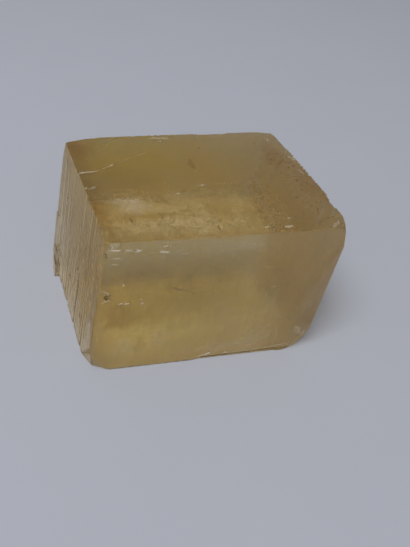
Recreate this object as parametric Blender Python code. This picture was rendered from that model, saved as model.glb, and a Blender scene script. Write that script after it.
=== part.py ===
"""A calcite cleavage rhomb: one honey-coloured crystal that lies on a flat cleavage face.

Calcite splits along three planes, so the crystal is a sheared block.  Its long edge runs along +X,
its front face looks towards -Y, and it rests on the plane Z = 0.  Places on it are given in
millimetres along its three edges (along, back, up) from the lower front left corner.  Its steps
follow the cleavage, so their sides run parallel to the crystal's own edges.
"""

import math
import random

import bmesh
import bpy
from mathutils import Matrix, Vector

# ---- driving dimensions ---------------------------------------------------------------------
MM = 0.001
LONG_EDGE = 55.0            # left to right
DEEP_EDGE = 40.6            # front to back
UP_EDGE = 35.0              # the steep edge, 33 mm high where it leans
BLUNT_ANGLE = math.radians(101.917)    # plane angle at a blunt corner of a calcite cleavage face
WEAR_RADIUS = 0.22          # rounding of the handled edges
SKIN = 1.0                  # how far a cutter stands clear of the face that it cuts
WELD_DISTANCE = 0.02
SEED = 17

HONEY = (0.50, 0.33, 0.10, 1.0)
CRYSTAL_IOR = 1.658
CRYSTAL_ROUGHNESS = 0.25

EDGES = (LONG_EDGE, DEEP_EDGE, UP_EDGE)
ALONG, BACK, UP = range(3)

# Each side: the two directions that its places are given in, and the one that it faces.
SIDES = {
    "left": (BACK, UP, ALONG, False),
    "right": (BACK, UP, ALONG, True),
    "front": (ALONG, UP, BACK, False),
    "rear": (ALONG, UP, BACK, True),
    "top": (ALONG, BACK, UP, True),
}


# ---- the cleavage frame ---------------------------------------------------------------------
def cleavage_matrix():
    """Columns are the three edge directions, one millimetre long; all meet at the same angle."""
    lean = math.cos(BLUNT_ANGLE)
    along = Vector((1.0, 0.0, 0.0))
    back = Vector((lean, math.sin(BLUNT_ANGLE), 0.0))
    up_y = (-lean + lean * lean) / back.y
    up = Vector((-lean, up_y, math.sqrt(1.0 - lean * lean - up_y * up_y)))
    return Matrix.Scale(MM, 4) @ Matrix((along, back, up)).transposed().to_4x4()


CLEAVAGE = cleavage_matrix()


def place(along, back, up):
    """A point given along the crystal's edges, in metres."""
    return CLEAVAGE @ Vector((along, back, up))


def on_side(side, first, second, depth):
    """A point at a depth below one side of the crystal; a negative depth stands clear of it."""
    first_axis, second_axis, facing, far_end = SIDES[side]
    spot = [0.0, 0.0, 0.0]
    spot[first_axis] = first
    spot[second_axis] = second
    spot[facing] = EDGES[facing] - depth if far_end else depth
    return spot


# ---- objects ---------------------------------------------------------------------------------
def remove_everything():
    for item in list(bpy.data.objects):
        bpy.data.objects.remove(item, do_unlink=True)


def add_object(name, bm):
    """Turn a bmesh into a named object with its faces outwards."""
    mesh = bpy.data.meshes.new(name)
    bmesh.ops.recalc_face_normals(bm, faces=bm.faces[:])
    bm.to_mesh(mesh)
    bm.free()
    item = bpy.data.objects.new(name, mesh)
    bpy.context.scene.collection.objects.link(item)
    return item


# ---- shapes that the crystal is made and cut with --------------------------------------------
def add_block(bm, low, high):
    """A block with the crystal's own edge directions, between two corners."""
    centre = [(a + b) / 2.0 for a, b in zip(low, high)]
    size = [b - a for a, b in zip(low, high)]
    shape = CLEAVAGE @ Matrix.Translation(centre) @ Matrix.Diagonal(size).to_4x4()
    bmesh.ops.create_cube(bm, size=1.0, matrix=shape)


def add_flake(bm, side, outline, depths):
    """What a split-off flake leaves: its outline on one side, and its depth at each corner."""
    floor = [bm.verts.new(place(*on_side(side, *corner, depth)))
             for corner, depth in zip(outline, depths)]
    raised = bmesh.ops.extrude_face_region(bm, geom=[bm.faces.new(floor)])["geom"]
    for vert in [item for item in raised if isinstance(item, bmesh.types.BMVert)]:
        corner = min(range(len(floor)), key=lambda i: (floor[i].co - vert.co).length)
        vert.co = place(*on_side(side, *outline[corner], -SKIN))


def add_step(bm, side, first, second, depth):
    """A flake of even depth with edges parallel to the crystal's."""
    outline = ((first[0], second[0]), (first[1], second[0]),
               (first[1], second[1]), (first[0], second[1]))
    add_flake(bm, side, outline, [depth] * 4)


def add_scoop(bm, point, radius, stretch, rng):
    """A shell-shaped chip: a squashed ball turned at random."""
    turn = Matrix.Rotation(rng.uniform(0.0, math.tau), 4, rng.choice("XYZ"))
    turn = turn @ Matrix.Rotation(rng.uniform(0.0, math.tau), 4, rng.choice("XYZ"))
    form = Matrix.Diagonal([radius * MM * share for share in stretch]).to_4x4()
    where = Matrix.Translation(place(*point)) @ turn @ form
    bmesh.ops.create_icosphere(bm, subdivisions=1, radius=1.0, matrix=where)


# ---- the block itself ------------------------------------------------------------------------
# Corner (1 at the far end of along, back and up) and where each cut meets its three edges.
TRIMS = (
    ((1, 0, 1), (2.1, 5.5, 7.5)),       # upper front right, worn round
    ((1, 0, 1), (3.4, 2.6, 2.3)),
    ((1, 0, 0), (6.2, 1.9, 7.6)),       # lower front right, broken off
    ((1, 0, 0), (3.1, 5.0, 3.5)),
    ((0, 0, 0), (2.2, 5.8, 6.4)),       # lower front left, rubbed round
    ((0, 0, 0), (5.4, 2.5, 5.0)),
    ((0, 0, 0), (3.4, 3.7, 2.2)),
    ((0, 1, 1), (6.9, 1.7, 5.2)),       # upper back left
    ((0, 1, 1), (1.9, 2.5, 1.3)),
    ((1, 1, 1), (4.6, 1.1, 3.2)),       # upper back right
    ((1, 1, 1), (0.9, 4.2, 1.4)),
    ((0, 0, 1), (1.1, 0.8, 1.5)),       # upper front left, only nicked
    ((1, 1, 0), (4.0, 5.0, 7.0)),       # lower back right
    ((1, 1, 0), (2.0, 7.5, 3.0)),
)


def trim_corner(bm, corner, reach):
    """Cut a corner off by the plane that meets its three edges at the given distances."""
    tip = [edge * end for edge, end in zip(EDGES, corner)]
    ends = []
    for axis, distance in enumerate(reach):
        point = list(tip)
        point[axis] += -distance if corner[axis] else distance
        ends.append(place(*point))
    normal = (ends[1] - ends[0]).cross(ends[2] - ends[0]).normalized()
    if normal.dot(place(*tip) - ends[0]) < 0.0:
        normal = -normal
    cut = bmesh.ops.bisect_plane(bm, geom=bm.verts[:] + bm.edges[:] + bm.faces[:], dist=1e-7,
                                 plane_co=ends[0], plane_no=normal, clear_outer=True)
    rim = [item for item in cut["geom_cut"] if isinstance(item, bmesh.types.BMEdge)]
    bmesh.ops.contextual_create(bm, geom=rim)


def make_body():
    """The rhomb with its broken corners and handled edges."""
    bm = bmesh.new()
    add_block(bm, (0.0, 0.0, 0.0), EDGES)
    for corner, reach in TRIMS:
        trim_corner(bm, corner, reach)
    bmesh.ops.remove_doubles(bm, verts=bm.verts[:], dist=1e-6)
    bmesh.ops.recalc_face_normals(bm, faces=bm.faces[:])
    bmesh.ops.bevel(bm, geom=bm.edges[:], offset=WEAR_RADIUS * MM, segments=2, profile=0.5,
                    affect="EDGES", clamp_overlap=True, material=-1)
    return add_object("calcite_crystal", bm)


# ---- what stands proud -----------------------------------------------------------------------
def make_ledges():
    """Leaves of crystal left standing on the left side: a foot at the back and a thin strip."""
    bm = bmesh.new()
    foot_top = 3.3
    foot = ((-1.2, 32.6), (2.0, 32.2), (2.0, 40.5), (-0.12, 40.5), (-0.9, 36.4))
    base = bm.faces.new([bm.verts.new(place(along, back, 0.0)) for along, back in foot])
    raised = bmesh.ops.extrude_face_region(bm, geom=[base])["geom"]
    lid = [item for item in raised if isinstance(item, bmesh.types.BMVert)]
    bmesh.ops.translate(bm, verts=lid, vec=place(0.0, 0.0, foot_top))
    add_block(bm, (-0.26, 38.2, 2.0), (2.0, 40.5, 14.6))
    add_block(bm, (-0.42, 35.8, 2.0), (2.0, 39.4, 5.6))
    return add_object("left_ledges", bm)


# ---- steps and flakes ------------------------------------------------------------------------
def make_steps():
    """Cleavage steps of even depth."""
    bm = bmesh.new()
    over = UP_EDGE + SKIN
    past = DEEP_EDGE + SKIN
    # The right end: small leaves are missing along its upper edge and at its lower back corner.
    add_step(bm, "right", (7.0, 9.9), (31.2, over), 0.95)
    add_step(bm, "right", (24.5, past), (-SKIN, 4.6), 0.6)
    add_step(bm, "right", (33.5, past), (-SKIN, 9.0), 0.35)
    # The rear: a leaf is missing under its upper edge, and one along its foot.
    add_step(bm, "rear", (34.0, 42.1), (31.6, over), 0.5)
    add_step(bm, "rear", (30.0, LONG_EDGE + SKIN), (-SKIN, 2.6), 0.55)
    # Under the upper front edge a thin strip has split away, lower step by step.
    add_step(bm, "front", (0.9, 3.1), (UP_EDGE - 1.5, over), 0.3)
    add_step(bm, "front", (3.4, 7.2), (UP_EDGE - 2.0, over), 0.22)
    add_step(bm, "front", (7.5, 13.3), (UP_EDGE - 2.9, over), 0.15)
    # A low lip along the foot of the front face.
    add_step(bm, "front", (26.0, 47.0), (-SKIN, 1.05), 0.28)
    return add_object("cleavage_steps", bm)


def make_flakes():
    """Thin flakes that end in a step on one side and run out to nothing on the other."""
    bm = bmesh.new()
    over = UP_EDGE + SKIN
    past = DEEP_EDGE + SKIN
    # The back left of the top, up to a slanting crack.
    add_flake(bm, "top", ((-SKIN, 25.2), (3.9, 25.6), (8.4, 27.8), (19.2, 33.0), (23.5, past),
                          (-SKIN, past)), (0.26, 0.24, 0.20, 0.05, 0.02, 0.30))
    # The right end leans in towards its front edge and its upper back corner.
    add_flake(bm, "right", ((-SKIN, -SKIN), (12.4, -SKIN), (11.6, over), (-SKIN, over)),
              (0.86, 0.05, 0.55, 0.75))
    add_flake(bm, "right", ((31.8, over), (33.0, 16.0), (past, 14.0), (past, over)),
              (0.4, 0.02, 0.02, 0.45))
    # The rear leans in towards its upper left corner.
    add_flake(bm, "rear", ((-SKIN, over), (8.0, over), (6.5, 18.0), (-SKIN, 16.0)),
              (0.5, 0.3, 0.02, 0.02))
    return add_object("split_flakes", bm)


def make_striations():
    """Narrow grooves that run up the left side, as fine as the leaves that split off there."""
    rng = random.Random(SEED)
    bm = bmesh.new()
    back = 1.4
    while back < 30.6:
        width = rng.uniform(0.5, 1.9)
        low = rng.choice((-SKIN, rng.uniform(1.5, 17.0)))
        high = rng.choice((UP_EDGE + SKIN, rng.uniform(low + 8.0, UP_EDGE - 1.0)))
        add_step(bm, "left", (back, back + width), (low, high), rng.uniform(0.08, 0.3))
        back += width + rng.uniform(0.15, 0.9)
    for back, depth in ((32.2, 0.2), (33.9, 0.14), (35.6, 0.24)):
        add_step(bm, "left", (back, back + 1.1), (7.0, UP_EDGE - 3.0), depth)
    return add_object("left_striations", bm)


# ---- pits and chips --------------------------------------------------------------------------
# Where each pit lies on its side, and its radius.
PITS = (
    ("top", 26.8, 18.1, 0.45), ("top", 20.3, 15.5, 0.4), ("top", 35.2, 2.0, 0.4),
    ("top", 40.2, 1.7, 0.5), ("top", 41.5, 4.4, 0.35), ("top", 0.4, 19.2, 0.7),
    ("top", 24.2, 38.9, 0.6),
    ("front", 5.9, 19.4, 0.45), ("front", 9.8, 18.8, 0.35), ("front", 1.7, 21.6, 0.8),
    ("front", 12.9, 32.0, 0.4),
    ("left", 15.4, 13.0, 0.5), ("left", 15.1, 9.5, 0.5), ("left", 15.6, 6.2, 0.5),
)

# Free edges: start, end, number of chips, largest radius.
CHIPPED_EDGES = (
    ((55.0, 4.0, 35.0), (55.0, 38.0, 35.0), 12, 0.75),      # upper right
    ((7.0, 40.6, 35.0), (51.0, 40.6, 35.0), 11, 0.6),       # upper back
    ((2.0, 0.0, 35.0), (52.0, 0.0, 35.0), 7, 0.35),         # upper front
    ((0.0, 3.0, 35.0), (0.0, 37.0, 35.0), 8, 0.4),          # upper left
    ((0.0, 0.0, 7.0), (0.0, 0.0, 33.0), 7, 0.45),           # front left
    ((55.0, 0.0, 8.0), (55.0, 0.0, 30.0), 7, 0.45),         # front right
    ((6.0, 0.0, 0.0), (47.0, 0.0, 0.0), 8, 0.4),            # lower front
    ((55.0, 3.0, 0.0), (55.0, 34.0, 0.0), 6, 0.8),          # lower right
    ((4.0, 40.6, 0.0), (50.0, 40.6, 0.0), 7, 0.7),          # lower back
    ((55.0, 40.6, 7.0), (55.0, 40.6, 31.0), 6, 0.8),        # back right
)


def make_pits():
    rng = random.Random(SEED + 1)
    bm = bmesh.new()
    for side, first, second, radius in PITS:
        add_scoop(bm, on_side(side, first, second, 0.0), radius, (1.0, 0.65, 0.6), rng)
    return add_object("pits", bm)


def make_edge_chips():
    """Shell-shaped chips strung along the edges that stand free."""
    rng = random.Random(SEED + 2)
    bm = bmesh.new()
    for start, end, count, largest in CHIPPED_EDGES:
        for number in range(count):
            share = (number + rng.uniform(0.15, 0.85)) / count
            point = [a + (b - a) * share for a, b in zip(start, end)]
            radius = largest * rng.uniform(0.45, 1.0)
            add_scoop(bm, point, radius, (1.0, rng.uniform(0.6, 0.9), 0.6), rng)
    return add_object("edge_chips", bm)


# ---- material and assembly -------------------------------------------------------------------
def honey_calcite():
    material = bpy.data.materials.new("honey_calcite")
    material.use_nodes = True
    shader = material.node_tree.nodes["Principled BSDF"]
    shader.inputs["Base Color"].default_value = HONEY
    shader.inputs["Roughness"].default_value = CRYSTAL_ROUGHNESS
    shader.inputs["Metallic"].default_value = 0.0
    shader.inputs["IOR"].default_value = CRYSTAL_IOR
    return material


def shape_with(crystal, tool, operation):
    """Join or cut the crystal with a tool, which stays in the file as a wire guide."""
    tool.hide_render = True
    tool.display_type = "WIRE"
    tool.parent = crystal
    step = crystal.modifiers.new(tool.name, "BOOLEAN")
    step.object = tool
    step.operation = operation
    step.solver = "EXACT"
    step.use_self = True


def stand_on_origin(crystal):
    """Move the crystal so that its box stands on the origin."""
    bpy.context.view_layer.update()
    shaped = crystal.evaluated_get(bpy.context.evaluated_depsgraph_get())
    corners = [Vector(corner) for corner in shaped.bound_box]
    low = Vector([min(corner[axis] for corner in corners) for axis in range(3)])
    high = Vector([max(corner[axis] for corner in corners) for axis in range(3)])
    crystal.location = (-(low.x + high.x) / 2.0, -(low.y + high.y) / 2.0, -low.z)


def main():
    remove_everything()
    crystal = make_body()
    crystal.data.materials.append(honey_calcite())
    shape_with(crystal, make_ledges(), "UNION")
    for tool in (make_steps(), make_flakes(), make_striations(), make_pits(), make_edge_chips()):
        shape_with(crystal, tool, "DIFFERENCE")
    weld = crystal.modifiers.new("weld", "WELD")
    weld.merge_threshold = WELD_DISTANCE * MM
    stand_on_origin(crystal)


main()
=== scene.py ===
"""The looks of a honey calcite cleavage rhomb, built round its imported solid.

Places on the crystal are given as (along, back, up): millimetres along its three edges from the
lower front left corner, as they would be measured on the stone itself.
"""

import math
import random

import bmesh
import bpy
from bpy.props import FloatProperty, FloatVectorProperty, IntProperty, PointerProperty
from mathutils import Matrix, Vector, noise
from mathutils.bvhtree import BVHTree


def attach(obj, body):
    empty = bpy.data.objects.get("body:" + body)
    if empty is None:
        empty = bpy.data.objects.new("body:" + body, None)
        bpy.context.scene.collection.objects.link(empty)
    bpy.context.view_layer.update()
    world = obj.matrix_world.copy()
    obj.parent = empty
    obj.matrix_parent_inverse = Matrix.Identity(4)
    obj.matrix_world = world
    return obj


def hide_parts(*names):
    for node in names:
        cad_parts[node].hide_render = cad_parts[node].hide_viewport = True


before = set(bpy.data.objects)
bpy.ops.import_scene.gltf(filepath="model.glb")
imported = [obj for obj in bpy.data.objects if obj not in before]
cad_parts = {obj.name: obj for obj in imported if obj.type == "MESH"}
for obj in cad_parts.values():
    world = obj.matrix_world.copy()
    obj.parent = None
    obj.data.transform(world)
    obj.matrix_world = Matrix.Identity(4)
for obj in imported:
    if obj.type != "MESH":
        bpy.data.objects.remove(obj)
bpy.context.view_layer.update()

bl_info = {
    "name": "Honey calcite",
    "version": (1, 0, 0),
    "blender": (4, 5, 0),
    "location": "3D View > Sidebar > Calcite",
    "description": "Dresses a calcite cleavage rhomb and sets it on a pale sheet",
    "category": "Object",
}

# ---- the crystal's own measure ---------------------------------------------------------------
MM = 0.001
LONG_EDGE, DEEP_EDGE, UP_EDGE = EDGES = (55.0, 40.6, 35.0)
BLUNT_ANGLE = math.radians(101.917)     # plane angle at a blunt corner of a cleavage face
CORNER = Vector((-0.0261445, -0.0243184, 0.0))      # lower front left corner, in metres
CALCITE_IOR = 1.658
SAME_PLANE = math.cos(math.radians(2.5))
SEED = 29


def cleavage_matrix():
    """From (along, back, up) in millimetres to metres; all three edges meet at the same angle."""
    lean = math.cos(BLUNT_ANGLE)
    along = Vector((1.0, 0.0, 0.0))
    back = Vector((lean, math.sin(BLUNT_ANGLE), 0.0))
    up_y = (-lean + lean * lean) / back.y
    up = Vector((-lean, up_y, math.sqrt(1.0 - lean * lean - up_y * up_y)))
    edges = Matrix((along, back, up)).transposed().to_4x4()
    return Matrix.Translation(CORNER) @ Matrix.Scale(MM, 4) @ edges


CLEAVAGE = cleavage_matrix()
ALONG, BACK, UP = range(3)

# Each side: the two directions that its places are given in, and the one that it faces.
SIDES = {
    "left": (BACK, UP, ALONG, False),
    "right": (BACK, UP, ALONG, True),
    "front": (ALONG, UP, BACK, False),
    "rear": (ALONG, UP, BACK, True),
    "top": (ALONG, BACK, UP, True),
}


def place(along, back, up):
    return CLEAVAGE @ Vector((along, back, up))


def on_side(side, first, second, depth=0.0):
    """A point at a depth below one side of the crystal, in metres."""
    first_axis, second_axis, facing, far_end = SIDES[side]
    spot = [0.0, 0.0, 0.0]
    spot[first_axis] = first
    spot[second_axis] = second
    spot[facing] = EDGES[facing] - depth if far_end else depth
    return place(*spot)


def edge_direction(axis):
    return Vector([CLEAVAGE[row][axis] for row in range(3)]).normalized()


def face_normals():
    """The three directions square to the cleavage planes."""
    along, back, up = (edge_direction(axis) for axis in (ALONG, BACK, UP))
    return [back.cross(up).normalized(), up.cross(along).normalized(),
            along.cross(back).normalized()]


# ---- mesh helpers ----------------------------------------------------------------------------
def add_piece(name, bm, material):
    mesh = bpy.data.meshes.new(name)
    bm.to_mesh(mesh)
    bm.free()
    piece = bpy.data.objects.new(name, mesh)
    bpy.context.scene.collection.objects.link(piece)
    mesh.materials.append(material)
    return piece


def carve(piece, cutter_bm):
    """Cut a piece with a mesh of separate closed shapes, and keep only the result."""
    cutter = add_piece("cutter", cutter_bm, piece.data.materials[0])
    cut = piece.modifiers.new("cut", "BOOLEAN")
    cut.object = cutter
    cut.operation = "DIFFERENCE"
    cut.solver = "EXACT"
    cut.use_self = True
    shaped = piece.evaluated_get(bpy.context.evaluated_depsgraph_get())
    piece.data = bpy.data.meshes.new_from_object(shaped)
    piece.modifiers.clear()
    bpy.data.objects.remove(cutter, do_unlink=True)


def add_grain(bm, centre, size, rng):
    """A small lump with its own three sizes in metres, turned at random."""
    turn = Matrix.Rotation(rng.uniform(0.0, math.tau), 4, rng.choice("XYZ"))
    turn = turn @ Matrix.Rotation(rng.uniform(0.0, math.tau), 4, rng.choice("XYZ"))
    form = Matrix.Translation(centre) @ turn @ Matrix.Diagonal(size).to_4x4()
    bmesh.ops.create_icosphere(bm, subdivisions=1, radius=1.0, matrix=form)


def add_sliver(bm, start, end, width, depth, normal):
    """A long thin lens between two points, lying in a face."""
    run = end - start
    across = normal.cross(run).normalized()
    frame_matrix = Matrix((run.normalized(), across, normal)).transposed().to_4x4()
    form = Matrix.Translation((start + end) / 2.0) @ frame_matrix
    form = form @ Matrix.Diagonal((run.length / 2.0, width / 2.0, depth)).to_4x4()
    bmesh.ops.create_icosphere(bm, subdivisions=1, radius=1.0, matrix=form)


def add_spindle(bm, start, end, width, depth, normal):
    """A thin fibre with pointed ends and four long sides."""
    across = normal.cross(end - start).normalized() * (width / 2.0)
    lift = normal * depth
    middle = (start + end) / 2.0
    tips = [bm.verts.new(start), bm.verts.new(end)]
    ring = [bm.verts.new(middle + shift) for shift in (across, lift, -across, -lift)]
    for number, corner in enumerate(ring):
        following = ring[(number + 1) % 4]
        bm.faces.new((corner, following, tips[0]))
        bm.faces.new((following, corner, tips[1]))


class Surface:
    """The crystal's real surface, with its steps and chips, for laying things on it."""

    def __init__(self):
        bm = bmesh.new()
        bm.from_mesh(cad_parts["calcite_crystal"].data)
        self.tree = BVHTree.FromBMesh(bm)
        bm.free()

    def settle(self, side, first, second, lift=0.0):
        """The point under a place on one side, raised by millimetres, and its normal."""
        _, _, facing, far_end = SIDES[side]
        inward = edge_direction(facing) * (-1.0 if far_end else 1.0)
        spot, normal, _, _ = self.tree.ray_cast(on_side(side, first, second, -4.0), inward, 0.012)
        if spot is None:
            return None, None
        return spot + normal * (lift * MM), normal


# ---- node helpers ----------------------------------------------------------------------------
class Nodes:
    """A material's nodes, each added and joined in one call."""

    def __init__(self, name):
        self.material = bpy.data.materials.new(name)
        self.material.use_nodes = True
        self.tree = self.material.node_tree
        self.shader = self.tree.nodes["Principled BSDF"]
        self.output = self.tree.nodes["Material Output"]

    def add(self, kind, inputs=(), out=0, **settings):
        node = self.tree.nodes.new("ShaderNode" + kind)
        for key, value in settings.items():
            setattr(node, key, value)
        for key, value in dict(inputs).items():
            self.feed(node.inputs[key], value)
        return node.outputs[out]

    def feed(self, socket, value):
        if isinstance(value, bpy.types.NodeSocket):
            self.tree.links.new(value, socket)
        else:
            socket.default_value = value

    def math(self, operation, first, second=0.0, third=0.0, clamp=False):
        return self.add("Math", {0: first, 1: second, 2: third},
                        operation=operation, use_clamp=clamp)

    def spread(self, value, low, high, start=0.0, end=1.0):
        """Map low..high to start..end and hold it there."""
        return self.add("MapRange", {"Value": value, "From Min": low, "From Max": high,
                                     "To Min": start, "To Max": end}, clamp=True)

    def blend(self, factor, first, second, way="MIX"):
        """Mix two colours."""
        inputs = {"Factor": factor, 6: first, 7: second}
        return self.add("Mix", inputs, out=2, data_type="RGBA", blend_type=way)

    def noise(self, vector, scale, detail=2.0, roughness=0.5):
        return self.add("TexNoise", {"Vector": vector, "Scale": scale, "Detail": detail,
                                     "Roughness": roughness})

    def stretch(self, vector, amounts):
        return self.add("VectorMath", {0: vector, 1: amounts}, operation="MULTIPLY")

    def cleavage_place(self):
        """(along, back, up) in millimetres at each point of the surface."""
        spot = self.add("TexCoord", out=3)
        spot = self.add("VectorMath", {0: spot, 1: tuple(CORNER)}, operation="SUBTRACT")
        inverse = CLEAVAGE.to_3x3().inverted()
        parts = [self.add("VectorMath", {0: spot, 1: tuple(row)}, out=1, operation="DOT_PRODUCT")
                 for row in inverse]
        return self.add("CombineXYZ", {"X": parts[0], "Y": parts[1], "Z": parts[2]})


def grain_material(name, first, second):
    """Two tones that change from grain to grain."""
    nodes = Nodes(name)
    spot = nodes.add("TexCoord", out=3)
    tone = nodes.noise(spot, 1500.0, 2.0)
    colour = nodes.blend(nodes.spread(tone, 0.35, 0.65), (*first, 1.0), (*second, 1.0))
    nodes.feed(nodes.shader.inputs["Base Color"], colour)
    nodes.feed(nodes.shader.inputs["Roughness"], nodes.spread(tone, 0.3, 0.7, 0.55, 0.8))
    return nodes.material


def graded_material(name, way, reach, near, far, middle, share):
    """Grains that go from one tone to another along the crystal, with a middle tone strewn in."""
    nodes = Nodes(name)
    spot = nodes.cleavage_place()
    distance = nodes.add("SeparateXYZ", {0: spot}, out=way)
    colour = nodes.blend(nodes.spread(distance, *reach), (*near, 1.0), (*far, 1.0))
    tone = nodes.noise(spot, 1.5, 2.0)
    colour = nodes.blend(nodes.spread(tone, 0.35, 0.65, 0.0, share), colour, (*middle, 1.0))
    nodes.feed(nodes.shader.inputs["Base Color"], colour)
    nodes.feed(nodes.shader.inputs["Roughness"], nodes.spread(tone, 0.3, 0.7, 0.55, 0.8))
    return nodes.material


def scaled(colour, shares):
    return tuple(min(1.0, channel * share) for channel, share in zip(colour, shares))


# ---- settings --------------------------------------------------------------------------------
class CrystalSettings(bpy.types.PropertyGroup):
    honey: FloatVectorProperty(
        name="Honey", description="Colour that the light keeps on its way through",
        subtype="COLOR", size=3, min=0.0, max=1.0, default=(1.0, 0.78, 0.0))
    depth_of_colour: FloatProperty(
        name="Depth of colour", description="How strongly the crystal absorbs, per metre",
        min=0.0, default=18.5)
    clearness: FloatProperty(
        name="Clearness", description="Share of the light that goes in and is not thrown back",
        subtype="FACTOR", min=0.0, max=1.0, default=0.99)
    dullness: FloatProperty(
        name="Dullness", description="Roughness of the split faces",
        subtype="FACTOR", min=0.0, max=1.0, default=0.19)
    haze: FloatVectorProperty(
        name="Haze", description="Colour of the thin haze on the split faces",
        subtype="COLOR", size=3, min=0.0, max=1.0, default=(1.0, 0.99, 0.95))
    fine_chips: IntProperty(
        name="Fine chips", description="Number of small chips along the edges",
        min=0, default=150)
    fine_grooves: IntProperty(
        name="Fine grooves", description="Number of hairline grooves on the left side",
        min=0, default=30)
    fibres: IntProperty(
        name="Fibres", description="Number of fine calcite fibres that stand on the left side",
        min=0, default=9500)
    fibre_colour: FloatVectorProperty(
        name="Fibre colour", description="Colour of those fibres",
        subtype="COLOR", size=3, min=0.0, max=1.0, default=(0.66, 0.55, 0.39))


class InclusionSettings(bpy.types.PropertyGroup):
    fleck_colour: FloatVectorProperty(
        name="Fleck colour", description="Colour of the dark specks inside",
        subtype="COLOR", size=3, min=0.0, max=1.0, default=(0.14, 0.09, 0.03))
    # Also the colour of the painted highlight along the foot lip.
    crushed_and_highlight_colour: FloatVectorProperty(
        name="Crushed and highlight colour", description="Colour of crushed calcite in nicks and cracks",
        subtype="COLOR", size=3, min=0.0, max=1.0, default=(0.94, 0.88, 0.74))
    # Also the colour of the painted shadow under the foot.
    dirt_and_foot_shadow_colour: FloatVectorProperty(
        name="Dirt and foot shadow colour", description="Colour of the dirt in the cracks and under the foot",
        subtype="COLOR", size=3, min=0.0, max=1.0, default=(0.20, 0.16, 0.09))
    dust_colour: FloatVectorProperty(
        name="Dust colour", description="Colour of the fine dust on the faces",
        subtype="COLOR", size=3, min=0.0, max=1.0, default=(0.72, 0.54, 0.23))
    rust_colour: FloatVectorProperty(
        name="Rust colour", description="Colour of the rusty grains",
        subtype="COLOR", size=3, min=0.0, max=1.0, default=(0.60, 0.38, 0.14))
    olive_colour: FloatVectorProperty(
        name="Olive colour", description="Colour of the olive grains",
        subtype="COLOR", size=3, min=0.0, max=1.0, default=(0.50, 0.42, 0.20))


class StageSettings(bpy.types.PropertyGroup):
    lens: FloatProperty(
        name="Lens", description="Focal length in millimetres on a 36 mm frame", default=32.4)
    paper: FloatVectorProperty(
        name="Paper", description="Colour of the sheet", subtype="COLOR", size=3,
        min=0.0, max=1.0, default=(0.70, 0.75, 0.88))
    fill: FloatProperty(
        name="Fill", description="Brightness of the soft light near the horizon", default=0.19)
    zenith: FloatProperty(
        name="Zenith", description="Extra brightness of the soft light overhead", default=0.10)
    front: FloatProperty(
        name="Front", description="Extra brightness of the soft light from the front",
        default=0.05)
    lamp: FloatProperty(
        name="Lamp", description="Power of the large soft lamp overhead, in watts", default=1.75)


# ---- the crystal -----------------------------------------------------------------------------
# Soft stains, and painted shade on the middle of the front: where (along, back, up), how far they
# reach in millimetres, strength and tint.
RUST = (0.66, 0.38, 0.15)
OCHRE = (0.95, 0.68, 0.30)
ROSE = (0.86, 0.62, 0.48)
OLIVE = (0.50, 0.46, 0.26)
# Tints of the painted shade on the middle of the front: a grey one and a cool grey one.
PAINTED_SHADE = (0.50, 0.46, 0.38)
PAINTED_COOL_SHADE = (0.66, 0.80, 1.0)
PEAT = (0.36, 0.23, 0.10)
TAN = (0.62, 0.50, 0.36)
AMBER = (1.0, 0.86, 0.20)
STRAW = (1.0, 0.86, 0.52)
STAINS_AND_SHADE = (
    # Painted shade: darkens the middle of the front.
    ((20.0, 0.0, 19.0), (24.0, 4.0, 7.5), 0.90, PAINTED_SHADE),
    ((5.7, 0.0, 16.2), (3.8, 4.0, 3.2), 0.95, PEAT),
    ((5.7, 0.0, 16.2), (3.2, 4.0, 2.6), 0.95, PEAT),
    ((6.2, 0.0, 16.0), (5.0, 4.0, 3.4), 0.75, RUST),
    ((10.8, 0.0, 15.6), (4.2, 4.0, 3.2), 0.95, OLIVE),
    # More painted shade on the middle of the front, darker and cooler grey.
    ((10.0, 0.0, 20.0), (20.0, 4.0, 7.0), 0.85, PAINTED_SHADE),
    ((18.0, 0.0, 15.0), (30.0, 4.0, 11.0), 0.95, PAINTED_COOL_SHADE),
    ((9.0, 0.0, 19.0), (14.0, 4.0, 7.0), 0.80, PAINTED_COOL_SHADE),
    ((0.0, 24.0, 29.0), (4.0, 20.0, 13.0), 0.85, TAN),
    ((10.0, 32.0, 35.0), (30.0, 15.0, 3.0), 0.95, AMBER),
    ((52.0, 0.0, 14.0), (9.0, 4.0, 16.0), 0.60, STRAW),
    ((-0.4, 37.0, 2.0), (2.4, 4.2, 4.0), 0.95, OLIVE),
    ((-0.4, 37.0, 2.0), (2.4, 4.2, 4.0), 0.95, OLIVE),
    ((11.5, 0.0, 7.0), (1.3, 3.0, 3.6), 0.60, OLIVE),
    ((6.5, 0.0, 25.6), (2.2, 3.0, 2.2), 0.60, ROSE),
    ((32.0, 0.0, 2.4), (17.0, 4.0, 2.4), 0.45, ROSE),
    ((53.2, 0.0, 23.0), (2.4, 5.0, 9.0), 0.60, RUST),
    ((52.6, 0.0, 10.5), (2.6, 5.0, 5.0), 0.60, RUST),
    ((1.5, 36.5, 35.0), (4.8, 5.0, 4.0), 0.80, RUST),
    ((49.4, 28.5, 35.0), (3.2, 7.0, 4.0), 0.60, RUST),
    ((52.8, 17.0, 35.0), (2.8, 9.0, 5.0), 0.50, RUST),
    ((1.2, 9.5, 35.0), (2.0, 6.0, 3.0), 0.55, OCHRE),
    ((22.0, 0.4, 35.0), (22.0, 1.4, 1.2), 0.60, OCHRE),
    ((30.0, 27.0, 35.0), (3.0, 10.0, 3.0), 0.40, OCHRE),
    ((10.3, 22.5, 35.0), (8.0, 4.5, 3.0), 0.30, OLIVE),
    ((40.0, 28.0, 35.0), (8.0, 8.0, 3.0), 0.22, OLIVE),
)
# The rims and hearts of the stains serve the painted shade as well.
MARK_RIM, MARK_HEART = 1.3, 0.35     # shares of a stain's reach where it ends and is full
RIM_WANDER = 6.0                       # how far the rims stray, in millimetres
RELIEF_DEPTH = 0.08 * MM

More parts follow.
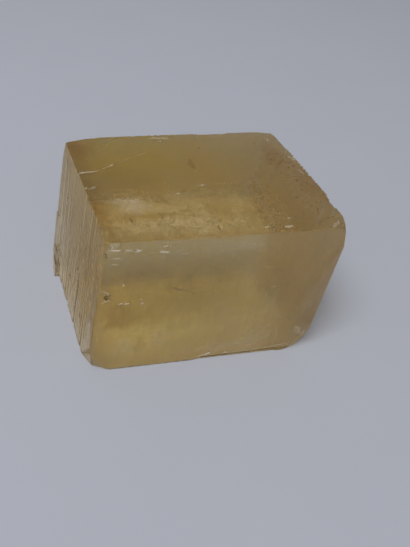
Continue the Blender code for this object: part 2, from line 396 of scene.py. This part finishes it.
# How the sides differ from the top: tint, its strength and the extra roughness.
SIDE_FINISH = {
    "left": ((0.92, 0.74, 0.42), 0.80, 0.55),
    "right": ((0.95, 0.78, 0.42), 0.75, 0.42),
    "rear": ((0.95, 0.84, 0.60), 0.60, 0.30),
    "base": ((1.0, 0.97, 0.88), 0.60, 0.05),
    "front": ((1.0, 0.98, 0.92), 0.30, 0.15),
}


def stained_and_shaded(nodes, spot, colour):
    """Lay the soft stains and the painted shade over a colour, one after the other, with ragged
    rims.
    """
    wander = nodes.add("TexNoise", {"Vector": spot, "Scale": 0.30, "Detail": 3.0}, out=1)
    wander = nodes.add("VectorMath", {0: wander, 1: (0.5, 0.5, 0.5)}, operation="SUBTRACT")
    ragged = nodes.add("VectorMath", {0: wander, 1: (RIM_WANDER,) * 3, 2: spot},
                       operation="MULTIPLY_ADD")
    for centre, reach, strength, tint in STAINS_AND_SHADE:
        offset = nodes.add("VectorMath", {0: ragged, 1: centre}, operation="SUBTRACT")
        offset = nodes.add("VectorMath", {0: offset, 1: reach}, operation="DIVIDE")
        distance = nodes.add("VectorMath", {0: offset}, out=1, operation="LENGTH")
        amount = nodes.spread(distance, MARK_RIM, MARK_HEART, 0.0, strength)
        colour = nodes.blend(amount, colour, (*tint, 1.0), way="MULTIPLY")
    return colour


def face_patterns(nodes, spot):
    """The patterns that the colour, the dullness and the relief of the faces share."""
    return {
        "cloud": nodes.noise(spot, 0.13, 3.0, 0.6),
        "mottle": nodes.noise(spot, 0.8, 2.5, 0.55),
        "speck": nodes.noise(spot, 3.2, 2.0, 0.6),
        "fibres": nodes.noise(nodes.stretch(spot, (1.0, 2.6, 0.16)), 1.0, 4.0, 0.65),
        "drawn": nodes.noise(nodes.stretch(spot, (0.10, 1.4, 1.4)), 1.0, 2.0, 0.5),
    }


# What tones the faces: pattern, where it starts and is full, its strength and its tint.
CLOUD_TONE = ("cloud", 0.42, 0.66, 0.8, (1.0, 0.88, 0.62))
MOTTLE_TONE = ("mottle", 0.46, 0.66, 0.7, (1.0, 0.84, 0.56))
DRAWN_TONE = ("drawn", 0.50, 0.66, 0.5, (1.0, 0.84, 0.60))
SPECK_TONE = ("speck", 0.60, 0.74, 0.15, (0.50, 0.36, 0.14))
FROST_TINT = (1.0, 0.96, 0.84)


def toned(nodes, patterns, colour, tone):
    pattern, start, full, strength, tint = tone
    amount = nodes.spread(patterns[pattern], start, full, 0.0, strength)
    return nodes.blend(amount, colour, (*tint, 1.0))


def face_colour(nodes, spot, patterns, masks, settings):
    """Haze with honey clouds, stains, painted shade on the middle of the front and specks, and a
    tint for each side.
    """
    colour = (*settings.haze, 1.0)
    for tone in (CLOUD_TONE, MOTTLE_TONE, DRAWN_TONE):
        colour = toned(nodes, patterns, colour, tone)
    # Stains, and painted shade on the middle of the front.
    colour = stained_and_shaded(nodes, spot, colour)
    colour = toned(nodes, patterns, colour, SPECK_TONE)
    streaky = nodes.spread(patterns["fibres"], 0.36, 0.64, 0.86, 1.08)
    for side, (tint, strength, _) in SIDE_FINISH.items():
        shade = nodes.blend(1.0, (*tint, 1.0), streaky, way="MULTIPLY")
        colour = nodes.blend(nodes.math("MULTIPLY", masks[side], strength), colour, shade)
    return nodes.blend(nodes.math("MULTIPLY", masks["frost"], 0.55), colour, (*FROST_TINT, 1.0))


def face_dullness(nodes, patterns, masks, settings):
    """Roughness that wanders with the mottling and grows on the sides and on breaks."""
    rough = nodes.spread(patterns["mottle"], 0.3, 0.7, settings.dullness - 0.06,
                         settings.dullness + 0.08)
    for side, (_, _, dulling) in SIDE_FINISH.items():
        rough = nodes.math("MULTIPLY_ADD", masks[side], dulling, rough)
    return nodes.math("MULTIPLY_ADD", masks["frost"], 0.20, rough)


def face_relief(nodes, spot, patterns, masks):
    """Slow waves with finer grain on them, and ridges on the left side."""
    relief = nodes.math("MULTIPLY", nodes.noise(spot, 0.25, 2.0), 1.6)
    for pattern, share in (("mottle", 0.25), ("drawn", 0.15), ("speck", 0.02)):
        relief = nodes.math("MULTIPLY_ADD", patterns[pattern], share, relief)
    ridges = nodes.math("MULTIPLY", patterns["fibres"], masks["left"])
    relief = nodes.math("MULTIPLY_ADD", ridges, 0.8, relief)
    return nodes.add("Bump", {"Height": relief, "Distance": RELIEF_DEPTH, "Strength": 1.0})


def honey_material(settings):
    nodes = Nodes("honey_calcite")
    shader = nodes.shader
    spot = nodes.cleavage_place()
    masks = {side: nodes.add("Attribute", out=2, attribute_name=side + "_side")
             for side in SIDE_FINISH}
    masks["frost"] = nodes.add("Attribute", out=2, attribute_name="frost")
    patterns = face_patterns(nodes, spot)
    nodes.feed(shader.inputs["Base Color"], face_colour(nodes, spot, patterns, masks, settings))
    nodes.feed(shader.inputs["Roughness"], face_dullness(nodes, patterns, masks, settings))
    nodes.feed(shader.inputs["Normal"], face_relief(nodes, spot, patterns, masks))
    shader.inputs["Transmission Weight"].default_value = settings.clearness
    shader.inputs["IOR"].default_value = CALCITE_IOR
    volume = nodes.add("VolumeAbsorption", {"Color": (*settings.honey, 1.0),
                                            "Density": settings.depth_of_colour})
    nodes.feed(nodes.output.inputs["Volume"], volume)
    return nodes.material


# Free edges of the crystal: start, end and share of the fine chips.
FREE_EDGES = (
    ((54.8, 3.0, 35.0), (54.8, 39.0, 35.0), 5),
    ((3.0, 40.5, 35.0), (52.0, 40.5, 35.0), 5),
    ((1.0, 0.0, 35.0), (53.0, 0.0, 35.0), 4),
    ((0.0, 1.0, 35.0), (0.0, 38.0, 35.0), 3),
    ((0.0, 0.0, 5.0), (0.0, 0.0, 34.0), 3),
    ((54.8, 0.0, 6.0), (54.6, 0.0, 31.0), 2),
    ((4.0, 0.0, 0.1), (50.0, 0.0, 0.1), 3),
    ((55.0, 2.0, 0.0), (55.0, 34.0, 0.0), 2),
    ((2.0, 40.6, 0.0), (51.0, 40.6, 0.0), 2),
    ((55.0, 40.6, 6.0), (55.0, 40.6, 32.0), 2),
)


def fine_chips(settings):
    """Small shell-shaped chips along the free edges, and pinpricks in the split faces."""
    rng = random.Random(SEED)
    bm = bmesh.new()
    shares = sum(share for _, _, share in FREE_EDGES)
    for start, end, share in FREE_EDGES:
        for _ in range(settings.fine_chips * share // shares):
            spot = place(*start).lerp(place(*end), rng.random())
            radius = rng.uniform(0.10, 0.34) * MM
            add_grain(bm, spot, (radius, radius * 0.8, radius * rng.uniform(0.5, 0.8)), rng)
    for side, first, second in (("top", 55.0, 40.0), ("front", 53.0, 34.0), ("left", 38.0, 34.0)):
        for _ in range(8):
            spot = on_side(side, rng.uniform(1.0, first - 1.0), rng.uniform(1.0, second - 1.0))
            radius = rng.uniform(0.07, 0.16) * MM
            add_grain(bm, spot, (radius, radius, radius * 0.7), rng)
    return bm


def fine_grooves(settings):
    """Hairline grooves up the left side, nearly parallel to its edge."""
    rng = random.Random(SEED + 1)
    bm = bmesh.new()
    normal = -face_normals()[ALONG]
    for _ in range(settings.fine_grooves):
        back = rng.uniform(0.8, 38.0)
        low = rng.uniform(0.5, 24.0)
        high = min(low + rng.uniform(5.0, 18.0), 34.2)
        start = on_side("left", back, low)
        end = on_side("left", back + rng.uniform(-0.8, 0.5), high)
        add_sliver(bm, start, end, rng.uniform(0.10, 0.3) * MM, rng.uniform(0.02, 0.07) * MM,
                   normal)
    return bm


def mark_faces(mesh):
    """Mark which faces are broken and which side they belong to, for the material."""
    along, back, up = face_normals()
    outward = {"left": -along, "right": along, "rear": back, "front": -back, "base": -up}
    marks = {side + "_side": [float(face.normal.dot(normal) > 0.8) for face in mesh.polygons]
             for side, normal in outward.items()}
    marks["frost"] = [float(max(abs(face.normal.dot(normal)) for normal in (along, back, up))
                            < SAME_PLANE) for face in mesh.polygons]
    for name, values in marks.items():
        mesh.attributes.new(name, "FLOAT", "FACE").data.foreach_set("value", values)


class CALCITE_OT_crystal(bpy.types.Operator):
    """Carve the fine chips and grooves into the crystal and give it its honey finish, with
    painted shade on the middle of the front
    """
    bl_idname = "calcite.crystal"
    bl_label = "Crystal"

    def execute(self, context):
        settings = context.scene.calcite_crystal
        bm = bmesh.new()
        bm.from_mesh(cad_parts["calcite_crystal"].data)
        bmesh.ops.remove_doubles(bm, verts=bm.verts[:], dist=1e-7)
        piece = add_piece("crystal", bm, honey_material(settings))
        carve(piece, fine_chips(settings))
        carve(piece, fine_grooves(settings))
        mark_faces(piece.data)
        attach(piece, "root")
        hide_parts("calcite_crystal")
        return {"FINISHED"}


# ---- fibres on the left side -----------------------------------------------------------------
FIBRE_TOP = 34.0            # how far up the left side the lowest end of a fibre may lie
FIBRE_ENDS = 34.6           # and the highest
LONGEST_FIBRE = 5.0 * MM    # a longer one would bridge a step or a chip


def standing_fibres(settings):
    """Fine fibres along the grain of the left side, and fewer near its upper edge."""
    rng = random.Random(SEED + 5)
    surface = Surface()
    bm = bmesh.new()
    for _ in range(settings.fibres):
        back = rng.uniform(0.5, 39.8)
        low = FIBRE_TOP * rng.random() ** 2.0
        high = min(low + rng.uniform(0.7, 3.2), FIBRE_ENDS)
        start, normal = surface.settle("left", back, low)
        end, _ = surface.settle("left", back + rng.uniform(-0.16, 0.08), high)
        if start is None or end is None or (end - start).length > LONGEST_FIBRE:
            continue
        add_spindle(bm, start, end, rng.uniform(0.05, 0.12) * MM, rng.uniform(0.015, 0.03) * MM,
                    normal)
    bmesh.ops.recalc_face_normals(bm, faces=bm.faces[:])
    return bm


def fibre_material(settings):
    """Tan fibres, paler and greyer towards the foot of the crystal."""
    tan = tuple(settings.fibre_colour)
    low = scaled(tan, (1.18, 1.24, 1.32))
    high = scaled(tan, (0.80, 0.77, 0.72))
    return graded_material("pale_fibre", UP, (2.0, 26.0), low, high, tan, 0.3)


class CALCITE_OT_fibres(bpy.types.Operator):
    """Lay fine pale fibres along the grain of the left side"""
    bl_idname = "calcite.fibres"
    bl_label = "Fibres"

    def execute(self, context):
        settings = context.scene.calcite_crystal
        piece = add_piece("fibres", standing_fibres(settings), fibre_material(settings))
        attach(piece, "root")
        return {"FINISHED"}


# ---- crushed spots ---------------------------------------------------------------------------
# Strokes of crushed calcite, and of pale grains as a painted highlight along the foot lip: side,
# start, end, width in millimetres, grains and their size.
CRUSHED_AND_LIP_HIGHLIGHT = (
    ("front", (0.9, 33.5), (3.1, 33.3), 0.24, 90, 0.12),
    ("front", (0.8, 34.9), (2.6, 34.3), 0.50, 26, 0.10),
    ("front", (1.4, 34.2), (1.8, 33.8), 0.40, 12, 0.12),
    ("front", (4.4, 33.1), (5.8, 33.0), 0.24, 34, 0.11),
    ("front", (6.5, 32.9), (7.3, 32.9), 0.44, 44, 0.13),
    ("front", (11.8, 32.2), (13.5, 32.0), 0.38, 60, 0.12),
    ("front", (12.2, 33.4), (13.6, 33.6), 0.30, 16, 0.10),
    ("front", (11.9, 34.3), (15.5, 34.4), 0.14, 22, 0.08),
    ("front", (2.0, 31.4), (3.6, 31.3), 0.22, 20, 0.09),
    ("front", (1.8, 30.0), (3.2, 29.8), 0.16, 9, 0.08),
    ("front", (5.0, 19.4), (7.0, 19.3), 0.36, 42, 0.11),
    ("front", (9.6, 19.1), (10.4, 19.0), 0.36, 18, 0.10),
    ("front", (9.2, 20.2), (9.8, 20.1), 0.20, 6, 0.08),
    ("front", (5.0, 24.6), (5.3, 24.5), 0.24, 10, 0.09),
    ("front", (0.5, 23.4), (2.4, 22.2), 0.60, 26, 0.09),
    ("front", (1.0, 20.2), (2.6, 20.8), 0.50, 20, 0.09),
    # Painted highlight: pale grains along the lower front edge, over its pale strip.
    ("front", (26.6, 1.1), (35.0, 1.0), 0.20, 70, 0.10),
    ("front", (35.0, 1.0), (42.0, 1.3), 0.16, 46, 0.09),
    ("front", (42.0, 1.3), (50.6, 2.2), 0.16, 54, 0.09),
    ("front", (28.2, 1.4), (29.6, 1.7), 0.40, 30, 0.12),
    ("front", (33.2, 1.3), (33.9, 1.4), 0.30, 12, 0.11),
    ("front", (50.0, 7.2), (53.2, 4.4), 1.70, 46, 0.10),
    ("top", (0.2, 25.2), (4.1, 25.7), 0.50, 150, 0.12),
    ("top", (4.1, 25.8), (8.2, 27.7), 0.30, 60, 0.10),
    ("top", (8.1, 27.7), (8.9, 28.2), 0.46, 20, 0.12),
    ("top", (9.6, 28.4), (13.5, 30.4), 0.40, 26, 0.08),
    ("top", (13.5, 30.4), (18.0, 32.6), 0.30, 24, 0.08),
    ("top", (1.0, 18.8), (2.6, 19.5), 0.60, 26, 0.09),
    ("top", (21.4, 39.2), (25.6, 38.7), 0.44, 60, 0.10),
    ("top", (22.8, 37.8), (23.6, 37.4), 0.60, 14, 0.08),
    ("top", (26.5, 18.0), (27.5, 18.2), 0.40, 22, 0.11),
    ("top", (19.9, 15.4), (20.8, 15.6), 0.36, 16, 0.10),
    ("top", (34.6, 1.9), (36.0, 2.1), 0.46, 26, 0.10),
    ("top", (39.4, 1.6), (41.0, 1.8), 0.50, 44, 0.12),
    ("top", (41.3, 4.2), (41.8, 4.7), 0.40, 16, 0.10),
    ("top", (31.0, 18.4), (44.5, 18.1), 0.14, 34, 0.07),
    ("top", (53.4, 28.8), (54.4, 26.6), 0.60, 34, 0.09),
    ("top", (53.2, 22.4), (53.8, 20.6), 0.50, 22, 0.09),
    ("top", (50.2, 0.6), (52.4, 2.2), 0.80, 40, 0.09),
    ("left", (31.0, 24.4), (32.0, 22.4), 0.60, 14, 0.09),
)

# Veils of the finest grains: side, middle, reach in millimetres and number of grains.
VEILS = (
    ("top", (9.0, 11.4), (3.8, 2.6), 900),
    ("top", (6.0, 13.8), (2.8, 1.0), 220),
    ("top", (9.6, 13.6), (1.4, 0.8), 130),
    ("front", (30.5, 32.4), (7.0, 1.8), 420),
    ("front", (16.0, 31.5), (8.0, 2.0), 260),
    ("front", (7.4, 6.9), (2.4, 2.8), 360),
    ("front", (15.4, 8.4), (2.2, 2.8), 300),
    ("front", (33.0, 3.2), (11.0, 1.8), 800),
    ("front", (40.0, 5.5), (5.0, 3.0), 500),
    ("front", (1.0, 9.0), (0.8, 7.0), 160),
    ("front", (51.2, 5.6), (1.6, 1.8), 60),
    ("left", (3.0, 8.0), (2.2, 8.0), 1100),
    ("left", (14.0, 7.0), (10.0, 5.0), 1000),
    ("top", (12.0, 3.0), (10.0, 2.6), 300),
)

# Strokes of ingrained dirt in the cracks, and of dark grains as painted shadow along the foot, in
# the same terms as the crushed calcite.
DIRT_AND_FOOT_SHADOW = (
    # Painted shadow: dark grains under the lip of the foot and along its contact line.
    ("front", (27.6, 0.35), (50.2, 0.75), 0.34, 260, 0.11),
    ("front", (4.0, 0.12), (27.0, 0.12), 0.12, 120, 0.09),
    # Dirt in the cracks.
    ("front", (1.5, 21.4), (2.1, 20.9), 0.40, 22, 0.11),
    ("front", (2.2, 22.2), (2.8, 21.9), 0.20, 7, 0.09),
    ("front", (0.2, 33.0), (0.6, 31.6), 0.30, 18, 0.10),
    ("left", (12.2, 25.2), (17.9, 11.0), 0.30, 60, 0.07),
    ("left", (17.9, 11.0), (20.5, 5.5), 0.24, 26, 0.07),
    ("left", (15.2, 13.6), (15.4, 6.4), 0.26, 26, 0.07),
    ("left", (26.6, 24.6), (27.2, 20.6), 0.26, 12, 0.07),
    ("left", (31.2, 25.0), (32.4, 22.6), 0.50, 12, 0.08),
    ("left", (34.8, 6.5), (38.6, 1.0), 1.40, 26, 0.06),
)


def lay_strokes(bm, surface, strokes, rng):
    """Short grains strung along strokes and half sunk in the surface."""
    for side, start, end, width, count, size in strokes:
        for number in range(count):
            share = (number + rng.random()) / count
            first = start[0] + (end[0] - start[0]) * share + rng.uniform(-0.5, 0.5) * width
            second = start[1] + (end[1] - start[1]) * share + rng.uniform(-0.5, 0.5) * width
            spot, _ = surface.settle(side, first, second, 0.02)
            if spot is not None:
                radius = size * rng.uniform(0.5, 1.1) * MM
                add_grain(bm, spot, (radius * 1.4, radius, radius * 0.6), rng)


def lay_veils(bm, surface, rng):
    """Thousands of the finest grains, so thinly strewn that they look like a breath of haze."""
    for side, middle, reach, count in VEILS:
        for _ in range(count):
            spot, normal = surface.settle(side, rng.gauss(middle[0], reach[0] * 0.6),
                                          rng.gauss(middle[1], reach[1] * 0.6))
            if spot is None:
                continue
            way = Matrix.Rotation(rng.uniform(0.0, math.tau), 3, normal) @ normal.orthogonal()
            way *= rng.uniform(0.04, 0.10) * MM
            add_spindle(bm, spot - way, spot + way, rng.uniform(0.05, 0.09) * MM,
                        rng.uniform(0.015, 0.03) * MM, normal)


class CALCITE_OT_crushed_spots(bpy.types.Operator):
    """Pack crushed calcite into the nicks and cracks, with pale grains as a painted highlight
    along the foot lip, and dirt into the deepest of them, with dark grains as painted shadow
    under the foot
    """
    bl_idname = "calcite.crushed_spots"
    bl_label = "Crushed spots"

    def execute(self, context):
        settings = context.scene.calcite_inclusions
        rng = random.Random(SEED + 2)
        surface = Surface()
        # Crushed calcite, and pale grains as a painted highlight along the foot lip.
        pale = tuple(settings.crushed_and_highlight_colour)
        cream = scaled(pale, (0.8, 0.8, 0.8))
        bm = bmesh.new()
        lay_strokes(bm, surface, CRUSHED_AND_LIP_HIGHLIGHT, rng)
        lay_veils(bm, surface, rng)
        bmesh.ops.recalc_face_normals(bm, faces=bm.faces[:])
        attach(add_piece("crushed_spots", bm, grain_material("crushed_calcite_and_highlight", cream, pale)),
                "root")
        # Dirt in the cracks, and dark grains as painted shadow under the foot.
        dirt_and_shadow = tuple(settings.dirt_and_foot_shadow_colour)
        deeper_dirt_and_shadow = scaled(dirt_and_shadow, (0.6, 0.6, 0.6))
        bm = bmesh.new()
        lay_strokes(bm, surface, DIRT_AND_FOOT_SHADOW, rng)
        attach(add_piece("dirt_and_foot_shadow_grains", bm, grain_material("dirt_and_foot_shadow_grains", deeper_dirt_and_shadow, dirt_and_shadow)),
                "root")
        return {"FINISHED"}


# ---- dust ------------------------------------------------------------------------------------
# Where the fine dust lies: side, its two reaches in millimetres, number of grains and their size.
# It is thickest in the middle of each reach.
DUST = (
    ("top", (-8.0, 45.0), (-6.0, 18.5), 15000, 0.11),
    ("front", (26.0, 50.0), (-4.0, 36.0), 5000, 0.09),
    ("front", (-10.0, 64.0), (-6.0, 38.0), 9000, 0.08),
)


DUST_SUNK = 0.004 * MM              # how deep a crumb sits in the surface
DUST_PROUD = (0.006, 0.012)         # and how far it stands out, in millimetres


def gathers(rng, first, second):
    """Whether a crumb stays at a place: most do in the drifts, few do between them."""
    drift = noise.noise((first * 0.16, second * 0.30, 1.0))
    drift += 0.7 * noise.noise((first * 0.7, second * 0.9, 5.0))
    return rng.random() <= 0.55 + 0.9 * drift


def settled_dust(surface):
    """Flat crumbs that gather in drifts where the surface is bruised."""
    rng = random.Random(SEED + 6)
    bm = bmesh.new()
    for side, firsts, seconds, count, size in DUST:
        for _ in range(count):
            first = rng.triangular(*firsts)
            second = rng.triangular(*seconds)
            if not gathers(rng, first, second):
                continue
            spot, normal = surface.settle(side, first, second)
            if spot is None:
                continue
            turn = Matrix.Rotation(rng.uniform(0.0, math.tau), 3, normal)
            arm = turn @ normal.orthogonal() * (rng.uniform(0.45, 1.0) * size * MM)
            third = Matrix.Rotation(math.tau / 3.0, 3, normal)
            rim = [arm, third @ arm, third @ third @ arm]
            base = [bm.verts.new(spot + corner - normal * DUST_SUNK) for corner in rim]
            peak = bm.verts.new(spot + normal * (rng.uniform(*DUST_PROUD) * MM))
            bm.faces.new(base[::-1])
            for number in range(3):
                bm.faces.new((base[number], base[(number + 1) % 3], peak))
    return bm


def dust_material(settings):
    """Golden dust, paler towards the front edge of the top."""
    golden = tuple(settings.dust_colour)
    pale = scaled(golden, (1.28, 1.40, 1.80))
    return graded_material("dust", BACK, (15.0, 18.5), pale, golden, golden, 0.4)


class CALCITE_OT_dust(bpy.types.Operator):
    """Strew fine golden dust over the front and along the front half of the top"""
    bl_idname = "calcite.dust"
    bl_label = "Dust"

    def execute(self, context):
        material = dust_material(context.scene.calcite_inclusions)
        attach(add_piece("dust", settled_dust(Surface()), material), "root")
        return {"FINISHED"}


# ---- rusty grains ----------------------------------------------------------------------------
# Where they gather: ranges of along, back and up, number of grains and their size.
RUSTY_PLACES = (
    ((51.5, 54.6), (1.0, 39.5), (2.0, 34.6), 110, 0.14),
    ((47.0, 54.6), (4.0, 39.0), (33.4, 34.6), 60, 0.12),
    ((3.0, 9.0), (0.4, 2.0), (13.0, 19.0), 26, 0.10),
)


def add_chip(bm, spot, size, rng):
    """A small flat cleavage chip, nearly parallel to the crystal's own faces."""
    turn = Matrix.Rotation(rng.gauss(0.0, 0.35), 3, rng.choice("XYZ"))
    sizes = [size * rng.uniform(0.6, 1.8) * MM for _ in range(3)]
    sizes[rng.randrange(3)] *= 0.2
    form = turn @ (CLEAVAGE.to_3x3() * (1.0 / MM)) @ Matrix.Diagonal(sizes)
    bmesh.ops.create_cube(bm, size=2.0, matrix=Matrix.Translation(spot) @ form.to_4x4())


def inside(spot, margin=0.35):
    return all(margin < value < edge - margin for value, edge in zip(spot, EDGES))


class CALCITE_OT_rusty_grains(bpy.types.Operator):
    """Scatter grains of iron rust near the broken edges"""
    bl_idname = "calcite.rusty_grains"
    bl_label = "Rusty grains"

    def execute(self, context):
        settings = context.scene.calcite_inclusions
        rng = random.Random(SEED + 4)
        bm = bmesh.new()
        for along, back, up, count, size in RUSTY_PLACES:
            for _ in range(count):
                spot = [rng.uniform(*reach) for reach in (along, back, up)]
                if inside(spot):
                    add_chip(bm, place(*spot), size, rng)
        material = grain_material("rusty_grain", settings.rust_colour, settings.olive_colour)
        piece = add_piece("rusty_grains", bm, material)
        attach(piece, "root")
        return {"FINISHED"}


# ---- dark flecks -----------------------------------------------------------------------------
# Streaks inside: side that they are seen through, start, end, depth below it and width.
STREAKS = (
    ("top", (28.2, 29.8), (28.1, 26.0), 1.2, 0.55),
    ("top", (27.6, 28.2), (28.3, 25.4), 1.5, 0.45),
    ("top", (14.3, 9.6), (14.7, 4.6), 1.6, 0.40),
    ("top", (15.6, 7.0), (15.9, 3.6), 1.8, 0.30),
    ("top", (24.9, 5.6), (25.1, 2.2), 1.2, 0.45),
    ("top", (7.4, 8.6), (7.6, 5.6), 1.4, 0.35),
    ("front", (19.7, 25.2), (20.1, 24.9), 0.8, 0.38),
    ("front", (21.2, 20.3), (21.8, 19.9), 0.8, 0.36),
    ("front", (22.3, 18.7), (22.6, 18.3), 0.8, 0.28),
    ("front", (26.1, 21.3), (26.5, 21.1), 0.7, 0.30),
    ("front", (27.2, 16.6), (27.9, 16.5), 0.7, 0.22),
    ("front", (15.0, 22.9), (17.8, 21.9), 0.9, 0.20),
    ("front", (17.6, 22.0), (18.6, 21.2), 1.1, 0.18),
    ("front", (2.2, 21.8), (2.6, 20.9), 0.4, 0.45),
    ("left", (15.2, 13.0), (15.5, 7.4), 0.5, 0.30),
    ("left", (15.4, 8.0), (16.2, 3.6), 0.6, 0.22),
    ("left", (27.0, 24.0), (27.2, 20.2), 0.6, 0.30),
    ("left", (22.0, 17.0), (22.3, 11.0), 0.5, 0.18),
)


def dark_streaks():
    """Smudges drawn by rows of tiny dark chips, and single flecks scattered between them."""
    rng = random.Random(SEED + 3)
    bm = bmesh.new()
    for side, start, end, depth, width in STREAKS:
        length = (Vector(end) - Vector(start)).length
        for _ in range(10 + round(length * 14.0)):
            share = rng.random()
            first = start[0] + (end[0] - start[0]) * share + rng.gauss(0.0, width * 0.55)
            second = start[1] + (end[1] - start[1]) * share + rng.gauss(0.0, width * 0.5)
            add_chip(bm, on_side(side, first, second, depth * rng.uniform(0.2, 0.9)),
                     rng.uniform(0.03, 0.075), rng)
    for side, spread, count in (("front", (14.0, 40.0, 12.0, 28.0), 7),
                                ("top", (22.0, 34.0, 2.0, 36.0), 16),
                                ("top", (4.0, 50.0, 2.0, 38.0), 14)):
        for _ in range(count):
            spot = on_side(side, rng.uniform(*spread[:2]), rng.uniform(*spread[2:]),
                           rng.uniform(0.4, 2.6))
            add_chip(bm, spot, rng.uniform(0.05, 0.11), rng)
    return bm


class CALCITE_OT_dark_flecks(bpy.types.Operator):
    """Set the dark flecks and streaks inside the crystal"""
    bl_idname = "calcite.dark_flecks"
    bl_label = "Dark flecks"

    def execute(self, context):
        settings = context.scene.calcite_inclusions
        dark = tuple(settings.fleck_colour)
        brown = scaled(dark, (2.5, 2.5, 2.5))
        piece = add_piece("dark_flecks", dark_streaks(),
                          grain_material("dark_fleck", dark, brown))
        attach(piece, "root")
        return {"FINISHED"}


# ---- the stage -------------------------------------------------------------------------------
SHEET_DROP = 0.08 * MM      # room for the grains under the foot, which stand a little proud
SHEET_SIZE = 2.0            # half a side, in metres
LAMP_SIZE = 0.36
LAMP_PLACE = Vector((-0.18, -0.10, 0.70))
CAMERA_PLACE = (-0.0174688, -0.0889995, 0.1045238)
CAMERA_AZIMUTH = math.radians(15.277)
CAMERA_DIP = math.radians(47.345)
CAMERA_ROLL = math.radians(6.59)


def paper_material(settings):
    nodes = Nodes("pale_sheet")
    spot = nodes.add("TexCoord", out=3)
    tone = nodes.noise(spot, 30.0, 3.0)
    paper = tuple(settings.paper)
    shade = scaled(paper, (0.965, 0.965, 0.965))
    nodes.feed(nodes.shader.inputs["Base Color"],
               nodes.blend(tone, (*shade, 1.0), (*paper, 1.0)))
    nodes.shader.inputs["Roughness"].default_value = 0.85
    nodes.shader.inputs["Specular IOR Level"].default_value = 0.2
    return nodes.material


def lay_sheet(settings):
    bm = bmesh.new()
    drop = Matrix.Translation((0.0, 0.0, -SHEET_DROP))
    bmesh.ops.create_grid(bm, x_segments=8, y_segments=8, size=SHEET_SIZE, matrix=drop)
    sheet = add_piece("pale_sheet", bm, paper_material(settings))


def soft_room(settings):
    """A room whose light grows softly towards the ceiling and towards the viewer's side."""
    world = bpy.data.worlds.new("soft_room")
    world.use_nodes = True
    nodes = world.node_tree.nodes
    links = world.node_tree.links
    strength = settings.fill
    for way, amount in (((0.0, 0.0, 1.0), settings.zenith), ((0.0, -1.0, 0.0), settings.front)):
        share = nodes.new("ShaderNodeVectorMath")
        share.operation = "DOT_PRODUCT"
        share.inputs[1].default_value = way
        links.new(nodes.new("ShaderNodeTexCoord").outputs["Generated"], share.inputs[0])
        held = nodes.new("ShaderNodeMath")
        held.operation = "MAXIMUM"
        held.inputs[1].default_value = 0.0
        links.new(share.outputs["Value"], held.inputs[0])
        total = nodes.new("ShaderNodeMath")
        total.operation = "MULTIPLY_ADD"
        total.inputs[1].default_value = amount
        links.new(held.outputs["Value"], total.inputs[0])
        if isinstance(strength, float):
            total.inputs[2].default_value = strength
        else:
            links.new(strength, total.inputs[2])
        strength = total.outputs["Value"]
    back = nodes["Background"]
    back.inputs["Color"].default_value = (1.0, 0.975, 0.94, 1.0)
    links.new(strength, back.inputs["Strength"])
    return world


def hang_lamp(scene, settings):
    light = bpy.data.lights.new("soft_lamp", "AREA")
    light.shape = "SQUARE"
    light.size = LAMP_SIZE
    light.color = (1.0, 0.98, 0.95)
    light.energy = settings.lamp
    lamp = bpy.data.objects.new("soft_lamp", light)
    lamp.location = LAMP_PLACE
    lamp.rotation_euler = (-LAMP_PLACE).to_track_quat("-Z", "Y").to_euler()
    scene.collection.objects.link(lamp)


def set_camera(scene, settings):
    data = bpy.data.cameras.new("camera")
    data.lens = settings.lens
    data.clip_start = 0.005
    data.clip_end = 10.0
    camera = bpy.data.objects.new("camera", data)
    scene.collection.objects.link(camera)
    aim = Vector((math.sin(CAMERA_AZIMUTH) * math.cos(CAMERA_DIP),
                  math.cos(CAMERA_AZIMUTH) * math.cos(CAMERA_DIP), -math.sin(CAMERA_DIP)))
    turn = aim.to_track_quat("-Z", "Y") @ Matrix.Rotation(CAMERA_ROLL, 4, "Z").to_quaternion()
    camera.location = CAMERA_PLACE
    camera.rotation_euler = turn.to_euler()
    scene.camera = camera


class CALCITE_OT_stage(bpy.types.Operator):
    """Lay the pale sheet, light it softly and set the camera"""
    bl_idname = "calcite.stage"
    bl_label = "Stage"

    def execute(self, context):
        scene = context.scene
        settings = scene.calcite_stage
        scene.view_settings.view_transform = "Standard"
        scene.world = soft_room(settings)
        lay_sheet(settings)
        hang_lamp(scene, settings)
        set_camera(scene, settings)
        return {"FINISHED"}


# ---- panel and registration ------------------------------------------------------------------
class CALCITE_PT_panel(bpy.types.Panel):
    """Sizes, colours and steps of the calcite"""
    bl_idname = "CALCITE_PT_panel"
    bl_label = "Honey calcite"
    bl_space_type = "VIEW_3D"
    bl_region_type = "UI"
    bl_category = "Calcite"

    def draw(self, context):
        column = self.layout.column()
        for group in (context.scene.calcite_crystal, context.scene.calcite_inclusions,
                      context.scene.calcite_stage):
            for key in group.bl_rna.properties.keys():
                if key not in {"rna_type", "name"}:
                    column.prop(group, key)
        for step in STEPS:
            column.operator(step.bl_idname)


GROUPS = {"calcite_crystal": CrystalSettings, "calcite_inclusions": InclusionSettings,
          "calcite_stage": StageSettings}
STEPS = (CALCITE_OT_crystal, CALCITE_OT_fibres, CALCITE_OT_dust, CALCITE_OT_rusty_grains,
         CALCITE_OT_crushed_spots, CALCITE_OT_dark_flecks, CALCITE_OT_stage)


def register():
    for item in (*GROUPS.values(), *STEPS, CALCITE_PT_panel):
        bpy.utils.register_class(item)
    for key, group in GROUPS.items():
        setattr(bpy.types.Scene, key, PointerProperty(type=group))


def unregister():
    for key in GROUPS:
        delattr(bpy.types.Scene, key)
    for item in reversed((*GROUPS.values(), *STEPS, CALCITE_PT_panel)):
        bpy.utils.unregister_class(item)


def main():
    register()
    bpy.ops.calcite.crystal()
    bpy.ops.calcite.fibres()
    bpy.ops.calcite.dust()
    bpy.ops.calcite.rusty_grains()
    bpy.ops.calcite.crushed_spots()
    bpy.ops.calcite.dark_flecks()
    bpy.ops.calcite.stage()


if __name__ == "__main__":
    main()
